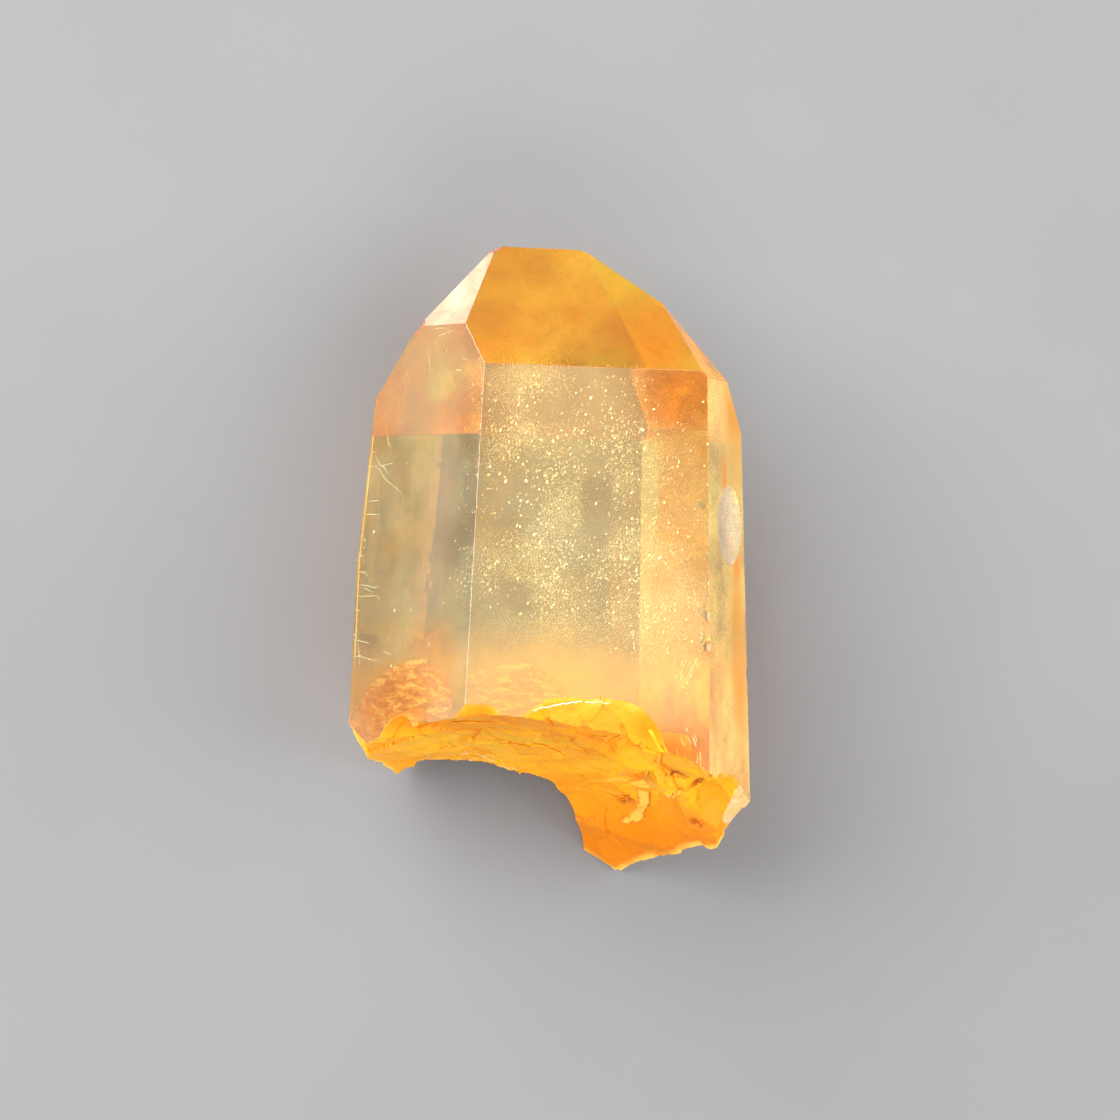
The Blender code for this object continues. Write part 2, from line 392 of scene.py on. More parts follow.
class Nodes:
    """Short calls for building a material's node tree."""

    def __init__(self, name):
        self.material = bpy.data.materials.new(name)
        self.material.use_nodes = True
        self.tree = self.material.node_tree
        self.shader = self.tree.nodes["Principled BSDF"]
        self.output = self.tree.nodes["Material Output"]

    def add(self, kind, **settings):
        node = self.tree.nodes.new(kind)
        for key, value in settings.items():
            setattr(node, key, value)
        return node

    def feed(self, value, socket):
        if isinstance(value, bpy.types.NodeSocket):
            self.tree.links.new(value, socket)
        elif isinstance(value, tuple) and len(value) == 3 and socket.type == "RGBA":
            socket.default_value = (*value, 1.0)
        else:
            socket.default_value = value

    def place(self):
        return self.add("ShaderNodeTexCoord").outputs["Object"]

    def noise(self, scale, detail=4.0, roughness=0.55, stretch=(1.0, 1.0, 1.0), distortion=0.0):
        """A noise texture, its scale in waves per metre of the part."""
        mapping = self.add("ShaderNodeMapping")
        self.feed(self.place(), mapping.inputs["Vector"])
        mapping.inputs["Scale"].default_value = stretch
        texture = self.add("ShaderNodeTexNoise")
        self.feed(mapping.outputs["Vector"], texture.inputs["Vector"])
        texture.inputs["Scale"].default_value = scale
        texture.inputs["Detail"].default_value = detail
        texture.inputs["Roughness"].default_value = roughness
        texture.inputs["Distortion"].default_value = distortion
        return texture.outputs["Fac"]

    def span(self, value, low, high, to_low=0.0, to_high=1.0):
        """A value taken smoothly from one range to another and held at its ends."""
        node = self.add("ShaderNodeMapRange", interpolation_type="SMOOTHSTEP")
        self.feed(value, node.inputs["Value"])
        for name, number in zip(("From Min", "From Max", "To Min", "To Max"), (low, high, to_low, to_high)):
            node.inputs[name].default_value = number
        return node.outputs["Result"]

    def ramp(self, value, stops):
        node = self.add("ShaderNodeValToRGB")
        elements = node.color_ramp.elements
        while len(elements) < len(stops):
            elements.new(0.5)
        for element, (position, color) in zip(elements, stops):
            element.position = position
            element.color = (*color, 1.0)
        self.feed(value, node.inputs["Fac"])
        return node.outputs["Color"]

    def mix(self, factor, first, second):
        node = self.add("ShaderNodeMix", data_type="RGBA")
        for value, index in ((factor, 0), (first, 6), (second, 7)):
            self.feed(value, node.inputs[index])
        return node.outputs[2]

    def math(self, operation, first, second=0.0):
        node = self.add("ShaderNodeMath", operation=operation)
        self.feed(first, node.inputs[0])
        self.feed(second, node.inputs[1])
        return node.outputs[0]

    def attribute(self, name):
        return self.add("ShaderNodeAttribute", attribute_name=name).outputs["Fac"]

    def near(self, point, across, along):
        """1 at a point of the crystal's own frame, fading to 0 at these reaches in mm."""
        squeeze = Vector((1.0, across / along, 1.0))
        scaled = self.add("ShaderNodeVectorMath", operation="MULTIPLY")
        self.feed(self.place(), scaled.inputs[0])
        scaled.inputs[1].default_value = squeeze
        node = self.add("ShaderNodeVectorMath", operation="DISTANCE")
        self.feed(scaled.outputs["Vector"], node.inputs[0])
        node.inputs[1].default_value = (TO_PART @ point) * squeeze
        return self.span(node.outputs["Value"], FULL_SHARE * across * MM, across * MM, 1.0, 0.0)

    def bump(self, height, distance, strength):
        node = self.add("ShaderNodeBump")
        node.inputs["Distance"].default_value = distance
        node.inputs["Strength"].default_value = strength
        self.feed(height, node.inputs["Height"])
        self.feed(node.outputs["Normal"], self.shader.inputs["Normal"])

    def set(self, **values):
        for name, value in values.items():
            self.feed(value, self.shader.inputs[name.replace("_", " ")])

    def absorb(self):
        """The pale yellow that clear quartz with a little iron takes on with depth."""
        absorption = self.add("ShaderNodeVolumeAbsorption")
        absorption.inputs["Color"].default_value = ABSORPTION_COLOR
        absorption.inputs["Density"].default_value = ABSORPTION_DENSITY
        self.feed(absorption.outputs["Volume"], self.output.inputs["Volume"])


CLEAN_QUARTZ = (1.0, 0.985, 0.96)


def film_material(name, roughness, coverage, film_color, bump=0.25, stains=(), shine=0.5):
    """A natural face of clear quartz under a film that clouds a share of it, with stained places."""
    nodes = Nodes(name)
    patches = nodes.noise(230.0, 6.0, 0.6)
    grain = nodes.span(nodes.noise(9000.0, 2.0, 0.5), 0.30, 0.70, 0.75, 1.25)
    amount = nodes.math("MULTIPLY", nodes.span(patches, 0.30, 0.70, 0.6, 1.4), grain)
    film = nodes.math("MULTIPLY", amount, coverage)
    color = nodes.mix(nodes.span(patches, 0.20, 0.50, 0.94, 1.0), CLEAN_QUARTZ, film_color)
    for point, across, along, strength, stain_color in stains:
        reach = nodes.near(point, across, along)
        stain = nodes.math("MULTIPLY", reach, nodes.span(patches, 0.30, 0.60, 0.6, 1.0))
        color = nodes.mix(stain, color, stain_color)
        thicker = nodes.math("MULTIPLY", nodes.math("SUBTRACT", strength, film), stain)
        film = nodes.math("ADD", film, thicker)
    clear = nodes.math("SUBTRACT", 1.0, film)
    nodes.set(Base_Color=color, Transmission_Weight=clear, IOR=QUARTZ_IOR, Roughness=roughness)
    nodes.set(Specular_IOR_Level=shine)
    nodes.bump(nodes.noise(1400.0, 3.0), 0.00002, bump)
    nodes.absorb()
    return nodes.material


def rest_material():
    """The rest face: iron film in bands along the crystal, closing up towards the root."""
    nodes = Nodes("quartz_rest_face")
    bands = nodes.noise(330.0, 4.0, 0.6, stretch=(1.0, 0.12, 1.0))
    patches = nodes.noise(170.0, 6.0, 0.62, distortion=0.4)
    place = nodes.add("ShaderNodeSeparateXYZ")
    nodes.feed(nodes.place(), place.inputs[0])
    height = nodes.math("ADD", place.outputs["Y"], nodes.math("MULTIPLY", patches, -0.006))
    root_film = nodes.span(height, -0.0115, -0.0055, 0.70, 0.0)
    band_film = nodes.span(bands, 0.45, 0.70, 0.0, 0.30)
    patch_film = nodes.span(patches, 0.45, 0.75, 0.06, 0.35)
    film = nodes.math("MAXIMUM", root_film, nodes.math("MAXIMUM", band_film, patch_film))
    color = nodes.mix(nodes.span(film, 0.0, 0.35), CLEAN_QUARTZ, (1.0, 0.80, 0.40))
    clear = nodes.math("SUBTRACT", 1.0, film)
    nodes.set(Base_Color=color, Transmission_Weight=clear, IOR=QUARTZ_IOR, Roughness=0.03)
    nodes.absorb()
    return nodes.material


# Rust on the break: x, z; radius.
RUST_SPOTS = [((6.8, 4.4), 0.9), ((7.7, 5.0), 0.8), ((9.1, -0.1), 0.8), ((8.6, 2.5), 0.7), ((5.4, -4.3), 0.8)]
BROWN_HOLLOW = ((4.7, 7.8), 2.4)  # x, z; radius of a darker stain
HACKLE_STAIN_AND_SHADING = ((-3.0, -8.6, -8.7), 8.0)  # middle and reach of the rippled stain, with painted highlights on its crests and painted shade between them


def root_material():
    """The iron-stained break: golden, deep orange at its foot, with painted highlights on the hackle's crests
    and painted shade between them.
    """
    nodes = Nodes("quartz_broken_root")
    patches = nodes.noise(260.0, 6.0, 0.62, distortion=0.6)
    mottle = nodes.noise(1500.0, 4.0, 0.6)
    place = nodes.add("ShaderNodeSeparateXYZ")
    nodes.feed(nodes.place(), place.inputs[0])
    depth = nodes.span(place.outputs["Y"], -0.0180, -0.0085, 1.0, 0.0)
    color = nodes.ramp(
        depth,
        [
            (0.03, (0.96, 0.41, 0.004)),
            (0.11, (0.96, 0.54, 0.014)),
            (0.62, (0.95, 0.48, 0.008)),
            (0.86, (0.84, 0.32, 0.002)),
            (1.00, (0.70, 0.20, 0.001)),
        ],
    )
    deep_stain = (0.86, 0.24, 0.001)
    color = nodes.mix(nodes.span(patches, 0.42, 0.72, 0.0, 0.55), color, deep_stain)
    color = nodes.mix(nodes.span(mottle, 0.35, 0.65, 0.0, 0.25), color, deep_stain)
    color = nodes.mix(nodes.math("MULTIPLY", nodes.attribute("rust"), 0.45), color, deep_stain)
    # The pale attribute holds the pale plates' own colour and a painted highlight along the break's rim.
    color = nodes.mix(nodes.math("MULTIPLY", nodes.attribute("pale"), 0.6), color, (0.98, 0.76, 0.14))
    color = nodes.mix(nodes.math("MULTIPLY", nodes.attribute("crack"), 0.75), color, (0.62, 0.12, 0.001))
    for point, radius in RUST_SPOTS:
        spot = nodes.near(break_point(*point), radius, radius)
        rust = nodes.math("MULTIPLY", spot, nodes.span(mottle, 0.44, 0.54))
        color = nodes.mix(nodes.math("MULTIPLY", rust, 0.9), color, (0.36, 0.055, 0.002))
    point, radius = BROWN_HOLLOW
    color = nodes.mix(nodes.near(break_point(*point), radius, radius), color, (0.58, 0.24, 0.006))
    middle, reach = HACKLE_STAIN_AND_SHADING
    hackle = nodes.near(Vector(middle), reach, reach)
    # Painted light on the hackle: dark orange-brown as painted shade in the troughs, near white as painted
    # highlights on the crests.
    ripples = nodes.noise(2000.0, 3.0, 0.5, stretch=(0.45, 1.5, 0.8), distortion=0.8)
    ripple_highlight_and_shade = nodes.ramp(
        ripples,
        [
            (0.36, (0.56, 0.25, 0.001)),
            (0.49, (0.76, 0.40, 0.002)),
            (0.55, (0.84, 0.48, 0.010)),
            (0.60, (1.0, 0.90, 0.55)),
        ],
    )
    color = nodes.mix(nodes.math("MULTIPLY", hackle, 0.95), color, ripple_highlight_and_shade)
    nodes.set(Base_Color=color, Transmission_Weight=0.15, IOR=QUARTZ_IOR, Roughness=0.40)
    nodes.set(Specular_IOR_Level=0.10)
    nodes.bump(nodes.noise(1800.0, 5.0), 0.00008, 0.8)
    nodes.absorb()
    return nodes.material


def chip_material():
    """Fresh breaks with no stain, pale from the fine steps that cover them."""
    nodes = Nodes("quartz_fresh_chip")
    steps = nodes.noise(700.0, 5.0, 0.6)
    color = nodes.ramp(steps, [(0.35, (0.98, 0.72, 0.25)), (0.65, (0.98, 0.84, 0.48))])
    nodes.set(Base_Color=color, Transmission_Weight=0.50, IOR=QUARTZ_IOR, Roughness=0.25)
    nodes.bump(steps, 0.00005, 0.4)
    nodes.absorb()
    return nodes.material


def mark_material(name, low_color, high_color, roughness, metallic=0.0, shine=0.5):
    """Specks and cracks inside the quartz or on it."""
    nodes = Nodes(name)
    color = nodes.ramp(nodes.noise(2600.0, 3.0), [(0.35, low_color), (0.65, high_color)])
    nodes.set(Base_Color=color, Roughness=roughness, Metallic=metallic, Specular_IOR_Level=shine)
    return nodes.material


# ---- The crystal ----
FLAT_TOLERANCE = 0.004  # mm from a growth plane
SAME_DIRECTION = 0.99995  # cosine
SCAR_REACH = 0.6 * SCAR_WIDTH
EDGE_HEIGHT = 0.7  # mm above the break, from where a small face belongs to a worn edge
PATCH_LENGTH = 1.7
RIM_HIGHLIGHT_FADE = (0.45, 0.10)  # mm under the growth faces between which the rim of the break is painted pale, as a painted highlight
RIGHT_FACE = ("prism", 5)
LEFT_FACE = ("prism", 1)
FRONT_FACE = ("prism", 0)
TIP_FACE = ("pyramid", 0)


def stain(face, middle, reach, strength, color):
    """A stained place on a growth face: where, its reach across and along, how cloudy, its colour."""
    return (point_on(face, *middle), *reach, strength, color)


def crystal_materials():
    """The material of each kind of face."""
    pale = (0.96, 0.90, 0.50)
    orange = (1.0, 0.38, 0.015)
    amber = (0.86, 0.39, 0.005)
    front_stains = [
        stain(FRONT_FACE, (-1.5, -1.5), (15.0, 15.0), 0.15, pale),
        stain(FRONT_FACE, (-1.5, 9.6), (7.0, 6.0), 0.20, (1.0, 0.86, 0.40)),
        stain(FRONT_FACE, (6.2, 10.4), (4.0, 3.5), 0.02, (1.0, 0.88, 0.34)),
        stain(FRONT_FACE, (-1.6, 1.2), (3.2, 2.4), 0.17, pale),
        stain(FRONT_FACE, (5.6, -4.6), (5.0, 5.5), 0.17, (1.0, 0.88, 0.46)),
        stain(FRONT_FACE, (6.4, -7.6), (3.6, 3.2), 0.19, (1.0, 0.84, 0.40)),
        stain(FRONT_FACE, (-2.0, -8.2), (7.0, 6.0), 0.24, (1.0, 0.76, 0.27)),
        stain(FRONT_FACE, (-3.6, -8.4), (4.5, 3.2), 0.33, (0.70, 0.47, 0.17)),
        stain(FRONT_FACE, (5.6, -11.4), (2.6, 1.8), 0.03, (1.0, 0.70, 0.20)),
    ]
    tip_stains = [stain(TIP_FACE, (4.4, 13.6), (3.2, 5.5), 0.15, (0.85, 0.42, 0.01))]
    left_stains = [
        stain(LEFT_FACE, (-8.8, 11.5), (5.0, 8.0), 0.13, (0.72, 0.80, 0.44)),
        stain(LEFT_FACE, (-11.4, 0.5), (2.0, 9.0), 0.08, (0.58, 0.74, 0.54)),
        stain(LEFT_FACE, (-8.3, 1.5), (2.4, 10.0), 0.12, (0.92, 0.84, 0.58)),
        stain(LEFT_FACE, (-8.6, -6.5), (4.0, 4.0), 0.11, (1.0, 0.70, 0.34)),
        stain(LEFT_FACE, (-10.3, -9.2), (4.5, 4.0), 0.02, (1.0, 0.78, 0.30)),
    ]
    right_stains = [
        stain(RIGHT_FACE, (10.3, 9.5), (3.2, 7.0), 0.78, (0.70, 0.30, 0.002)),
        stain(RIGHT_FACE, (10.9, -5.5), (2.2, 8.0), 0.52, amber),
        stain(RIGHT_FACE, (9.3, 5.6), (0.9, 2.2), 0.50, orange),
        stain(RIGHT_FACE, (10.6, 0.4), (1.2, 2.6), 0.50, orange),
    ]
    return {
        "clear": film_material("quartz_clear_face", 0.02, 0.10, (1.0, 0.84, 0.50)),
        "worn": film_material("quartz_worn_edge", 0.15, 0.10, (1.0, 0.86, 0.55)),
        "front": film_material("quartz_front_face", 0.015, 0.05, (0.96, 0.90, 0.50), 0.15, front_stains),
        "tip": film_material("quartz_tip_face", 0.12, 0.15, (0.72, 0.58, 0.05), 0.3, tip_stains),
        "left": film_material("quartz_left_face", 0.02, 0.09, (0.70, 0.81, 0.52), 0.15, left_stains),
        "right": film_material("quartz_right_face", 0.05, 0.42, (1.0, 0.74, 0.19), 0.5, right_stains, 0.2),
        "right_tip": film_material("quartz_right_tip_face", 0.08, 0.75, (0.84, 0.36, 0.005), shine=0.2),
        "rear": film_material("quartz_rear_face", 0.03, 0.30, (0.97, 0.67, 0.07)),
        "rear_tip": film_material("quartz_rear_tip_face", 0.05, 0.50, (0.88, 0.64, 0.02)),
        "ridge": film_material("quartz_ridge_face", 0.07, 0.08, (1.0, 0.84, 0.50)),
        "frosted": film_material("quartz_frosted_face", 0.30, 0.35, (0.90, 0.77, 0.56), 0.6),
        "scar": film_material("quartz_scar", 0.20, 0.42, (0.84, 0.72, 0.46), 0.2),
        "rest": rest_material(),
        "root": root_material(),
        "chip": chip_material(),
    }


FACE_KINDS = {
    ("pyramid", 0): "tip",
    ("pyramid", 1): "frosted",
    ("pyramid", 3): "ridge",
    ("pyramid", 4): "rear_tip",
    ("pyramid", 5): "right_tip",
    ("prism", 0): "front",
    ("prism", 1): "left",
    ("prism", 3): "rest",
    ("prism", 4): "rear",
    ("prism", 5): "right",
}


def growth_face_of(normal, centre):
    for key, (plane_normal, distance) in PLANES.items():
        off_plane = abs(centre.dot(plane_normal) - distance)
        if normal.dot(plane_normal) > SAME_DIRECTION and off_plane < FLAT_TOLERANCE:
            return key
    return None


def kind_of_face(polygon):
    key = growth_face_of(polygon.normal, polygon.center)
    if key is not None:
        return FACE_KINDS.get(key, "clear")
    x, y, z = polygon.center
    if (polygon.center - Vector(SCAR_CENTRE)).length < SCAR_REACH:
        return "scar"
    if y > break_height(x, z) + EDGE_HEIGHT:
        return "worn"
    return "chip" if depth_in_outline(x, z, FRESH_CHIP) > 0.0 else "root"


def paint_root(mesh, root_slot):
    """Marks the cracks, the stained facets, the pale plates and a painted highlight along the rim of the
    break on its points.
    """
    crack_layer = mesh.attributes.new("crack", "FLOAT", "POINT")
    pale_and_rim_highlight_layer = mesh.attributes.new("pale", "FLOAT", "POINT")
    rust_layer = mesh.attributes.new("rust", "FLOAT", "POINT")
    on_root = set()
    for polygon in mesh.polygons:
        if polygon.material_index == root_slot:
            on_root.update(polygon.vertices)
    for index in on_root:
        point = mesh.vertices[index].co
        x, y, z = point
        _, crack = fine_relief(x, y, z)
        patchy = smooth(noise.noise(point / PATCH_LENGTH), -0.25, 0.35)
        crack_layer.data[index].value = crack * patchy
        rust_layer.data[index].value = facet_relief(x, z)[2]
        # The rim of the break is painted pale as a highlight; the plates are pale in their own colour.
        rim_depth = min(distance - normal.dot(point) for normal, distance in PLANES.values())
        pale = smooth(rim_depth, *RIM_HIGHLIGHT_FADE) * (0.3 + 0.7 * patchy)
        for outline, _, paleness in PLATES.values():
            pale = max(pale, paleness * smooth(depth_in_outline(x, z, outline), -PLATE_EDGE, 2 * PLATE_EDGE))
        pale_and_rim_highlight_layer.data[index].value = pale


def make_crystal():
    crystal = grow_crystal()
    cutters = [break_cutter()]
    cutters += [chip_cutter(name, chip) for name, chip in CHIPS.items()]
    scar_normal, _ = face_plane("prism", SCAR_SECTOR)
    cutters.append(scoop_cutter("scar", Vector(SCAR_CENTRE), scar_normal, SCAR_DEPTH, SCAR_WIDTH / 2))
    carve(crystal, cutters)
    mesh = crystal.data
    materials = crystal_materials()
    slots = list(materials)
    mesh.materials.clear()
    for material in materials.values():
        mesh.materials.append(material)
    for polygon in mesh.polygons:
        polygon.material_index = slots.index(kind_of_face(polygon))
    paint_root(mesh, slots.index("root"))
    mesh.transform(TO_PART)
    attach(crystal, "root")
    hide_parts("crystal")


def add_inclusion(name, bm, material):
    """Brings a piece from the crystal's own frame to the part and lets it ride there."""
    piece = new_object(name, bm)
    piece.data.materials.append(material)
    piece.data.transform(TO_PART)
    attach(piece, "root")


# ---- Glitter and veils ----
SEED = 7
GLINT_NORMAL = Vector((-0.28, 0.20, 0.94))  # most flakes lie near this direction
FLAKE_STRETCH = (0.9, 2.2)
FLAKE_RUN = Vector((0.35, 1.0, 0.0))  # flakes are drawn out along this
FLAKE_OUTLINE = (0.75, 1.1)  # shares of the radius
SMALL_BIAS = 3  # the higher, the fewer large flakes
FLAKE_DEPTH = 0.2  # mm under every face, at least
BREAK_DEPTH = 0.3  # mm more under the break
GLITTER_COUNT = 4600
GLITTER_RADII = (0.016, 0.060)
GLITTER_SPREAD = 0.25
GLITTER_LOW = (-5.7, -9.0, 2.6)
GLITTER_HIGH = (8.6, 11.2, 7.6)
# Clear windows between the flakes: centre x, y and reach along x, y.
CLEAR_WINDOWS = [
    ((-3.9, 3.5), (1.6, 2.3)),
    ((1.1, 3.6), (1.1, 3.4)),
    ((-4.2, -2.4), (1.9, 1.3)),
    ((6.2, 9.8), (3.2, 2.5)),
    ((-2.2, 8.9), (1.6, 0.9)),
    ((2.6, 9.6), (2.0, 1.6)),
    ((5.0, -1.2), (1.3, 1.0)),
]
WINDOW_EDGE = (0.6, 1.15)  # shares of a window's reach
VEIL_COUNT = 80000
VEIL_RADII = (0.006, 0.022)
VEIL_SPREAD = 0.6
VEIL_THICKNESS = (0.95, 0.80, 0.8)
# Veils of tiny healed cracks, as the points that each one runs through.
VEILS = [
    [(-5.5, 9.6, 6.9), (-4.5, 10.8, 6.5), (-3.3, 11.4, 6.2), (-1.7, 10.6, 5.8)],
    [(-5.9, 5.7, 7.1), (-5.1, 6.8, 6.8), (-4.2, 7.9, 6.3), (-1.2, 7.8, 5.8)],
    [(-3.0, 0.4, 6.3), (-1.1, 2.9, 5.8), (0.9, 4.4, 5.3)],
    [(0.9, 5.9, 6.4), (3.0, 4.6, 6.0), (3.9, 8.0, 5.6), (5.4, 10.0, 5.2)],
    [(-5.6, -1.0, 6.9), (-3.6, 0.1, 6.3), (-1.8, -1.6, 5.6)],
    [(1.3, 0.1, 6.6), (3.7, 1.3, 6.2), (6.7, 0.5, 5.8)],
    [(3.7, -2.4, 6.6), (5.6, -1.6, 6.0), (7.4, -1.7, 5.4)],
    [(-4.9, -3.2, 6.6), (-1.2, -3.9, 6.0), (2.8, -3.4, 5.6), (6.6, -4.8, 5.2)],
]


def inside(point, margin):
    """True if the point lies deeper than the margin under every face of the crystal."""
    if any(point.dot(normal) > distance - margin for normal, distance in PLANES.values()):
        return False
    return point.y > break_height(point.x, point.z) + margin + BREAK_DEPTH


def openness(x, y):
    """How far a place is free of the clear windows, from 0 in their middle to 1 outside them."""
    free = 1.0
    for (centre_x, centre_y), (reach_x, reach_y) in CLEAR_WINDOWS:
        away = math.hypot((x - centre_x) / reach_x, (y - centre_y) / reach_y)
        free = min(free, smooth(away, *WINDOW_EDGE))
    return free


def glitter_points(chance, count):
    """Points in the front of the crystal, drawn towards streaks that rise to the right."""
    points = []
    while len(points) < count:
        point = Vector([chance.uniform(low, high) for low, high in zip(GLITTER_LOW, GLITTER_HIGH)])
        x, y, z = point
        streak = Vector((x * 0.75 - y * 0.45, x * 0.25 + y * 0.22, z * 0.5))
        weight = 0.15 + 0.85 * smooth(noise.noise(streak / 1.5), -0.15, 0.45)
        above_root = smooth(y + 0.35 * x, -6.0, -2.6)
        weight *= above_root * (0.40 + 0.60 * openness(x, y))
        weight *= 1.0 - 0.55 * smooth(x, 4.0, 6.5)  # fewer at the right
        if chance.random() < weight and inside(point, FLAKE_DEPTH):
            points.append(point)
    return points


def veil_points(chance, count):
    points = []
    while len(points) < count:
        line = chance.choice(VEILS)
        index = chance.randrange(len(line) - 1)
        centre = Vector(line[index]).lerp(Vector(line[index + 1]), chance.random())
        point = centre + Vector([chance.gauss(0.0, thickness) for thickness in VEIL_THICKNESS])
        if chance.random() < 0.1 + 0.9 * openness(point.x, point.y) and inside(point, FLAKE_DEPTH):
            points.append(point)
    return points


def scattered(normal, spread, chance):
    return (normal + Vector([chance.gauss(0.0, spread) for _ in range(3)])).normalized()


def add_flake(bm, point, normal, radius, chance, stretch=1.0, sides=6):
    """A rough disc, drawn out along the crystal by its stretch."""
    across = normal.cross(FLAKE_RUN).normalized()
    along = across.cross(normal)
    corners = []
    for index in range(sides):
        angle = 2.0 * math.pi * index / sides
        reach = radius * chance.uniform(*FLAKE_OUTLINE)
        arm = across * math.cos(angle) + along * (math.sin(angle) * stretch)
        corners.append(bm.verts.new(point + arm * reach))
    bm.faces.new(corners)


def make_flakes(name, points, radii, spread, material, chance, sides=6):
    bm = bmesh.new()
    smallest, largest = radii
    for point in points:
        radius = smallest + (largest - smallest) * chance.random() ** SMALL_BIAS
        normal = scattered(GLINT_NORMAL, spread, chance)
        add_flake(bm, point, normal, radius, chance, chance.uniform(*FLAKE_STRETCH), sides)
    add_inclusion(name, bm, material)


# ---- Cracks, dots and specks ----
# Hairline cracks under the left face, each as the points x, y that it runs through.
HAIRLINES = [
    [(-11.8, 5.5), (-11.4, 5.5), (-11.2, 5.3), (-10.9, 4.7), (-10.6, 4.4), (-10.1, 3.9), (-10.0, 3.6)],
    [(-11.5, 6.3), (-11.3, 5.9), (-11.2, 5.6), (-11.0, 5.5), (-10.8, 5.1), (-10.8, 4.8)],
    [(-11.2, 5.5), (-10.5, 5.7)],
    [(-11.6, 6.4), (-11.4, 6.4)],
    [(-10.8, 7.5), (-10.8, 7.1), (-10.7, 6.8), (-10.6, 6.7)],
    [(-11.8, 3.3), (-11.2, 3.4)],
    [(-11.9, 2.5), (-11.2, 2.5)],
    [(-12.3, 0.0), (-12.0, -0.1), (-12.0, -0.5)],
    [(-12.3, -1.1), (-11.9, -1.1), (-11.7, -1.4)],
    [(-12.2, -1.9), (-11.8, -1.9), (-11.5, -2.0), (-11.1, -2.0)],
    [(-11.9, -2.1), (-11.5, -2.3)],
    [(-12.3, -2.6), (-11.9, -2.6), (-11.2, -2.5), (-11.1, -2.8)],
    [(-12.4, -3.5), (-12.1, -3.5)],
    [(-12.5, -5.0), (-12.3, -5.0)],
    [(-12.5, -5.3), (-11.9, -5.4), (-11.6, -5.5)],
    [(-12.5, -6.4), (-12.1, -6.3), (-11.5, -6.5), (-11.0, -6.5)],
    [(-10.9, -5.9), (-10.4, -6.1)],
    [(-12.2, -5.4), (-12.1, -6.9)],
    [(-8.3, 13.4), (-7.9, 13.6), (-7.5, 13.7)],
    [(-8.5, 13.9), (-7.9, 13.9)],
    [(-8.8, 12.6), (-8.7, 11.9), (-8.7, 11.1)],
    [(-8.4, 12.8), (-8.3, 13.3)],
    [(-7.1, 12.0), (-6.8, 11.9)],
    [(-7.4, 11.3), (-7.1, 11.3)],
]
HAIRLINE_WIDTH = 0.042
HAIRLINE_DEPTH = 0.12
# Bright dots under the left face, each at x, y.
LEFT_DOTS = [
    (-9.5, 5.7), (-8.7, 3.6), (-10.6, -0.7), (-7.3, -1.3), (-6.6, 0.5), (-6.4, -0.1), (-8.4, -5.3),
    (-10.3, -6.8), (-9.9, -3.4), (-11.8, 1.7), (-11.8, 1.3), (-11.8, 0.9), (-11.7, 0.4), (-11.2, 1.4),
    (-9.3, -3.3), (-7.7, -2.8), (-7.7, 12.5), (-7.9, 12.8),
]
# A painted highlight along the upper rim of the break: a thin white ribbon under the front face, as the
# points x, y of the front face that it runs through.
RIM_HIGHLIGHT_LINE = [(-3.3, -9.05), (-2.3, -8.85), (-1.2, -8.6), (0.3, -8.4), (2.0, -8.5)]
RIM_HIGHLIGHT_WIDTH = 0.045
RIM_HIGHLIGHT_DEPTH = 0.10
SPUR_WIDTH = 0.05
SPUR_DEPTHS = (0.15, 0.35)
# Feathery white cracks that run up from the break: face; middle x, y; spread; run x, y; count.
SPURS = [
    (FRONT_FACE, (7.0, -10.9), 0.35, (-0.20, 0.50), 9),
    (FRONT_FACE, (7.5, -12.0), 0.20, (0.05, 0.45), 6),
    (RIGHT_FACE, (8.7, -12.1), 0.25, (-0.15, 0.45), 8),
    (RIGHT_FACE, (9.8, -12.5), 0.35, (0.18, 0.50), 8),
    (RIGHT_FACE, (10.6, -12.9), 0.20, (0.12, 0.60), 5),
    (FRONT_FACE, (6.3, -6.3), 0.45, (0.25, 0.55), 7),
]


def add_crack(bm, points, width, outward, chance):
    """A thin ribbon along the points, tapering to both ends and a little uneven."""
    rails = []
    for index, point in enumerate(points):
        ahead = points[min(index + 1, len(points) - 1)] - points[max(index - 1, 0)]
        side = ahead.cross(outward).normalized()
        share = index / (len(points) - 1)
        half = width * (0.15 + 0.35 * math.sin(math.pi * share)) * chance.uniform(0.7, 1.3)
        rails.append((bm.verts.new(point - side * half), bm.verts.new(point + side * half)))
    for (a, b), (c, d) in zip(rails, rails[1:]):
        bm.faces.new((a, b, d, c))


def refined(points, step, wander, chance):
    """The points of a line with more between them, moved a little off it."""
    fine = [points[0]]
    for start, end in zip(points, points[1:]):
        pieces = max(1, round((end - start).length / step))
        for index in range(1, pieces + 1):
            shift = Vector([chance.gauss(0.0, wander) for _ in range(3)])
            fine.append(start.lerp(end, index / pieces) + shift)
    return fine


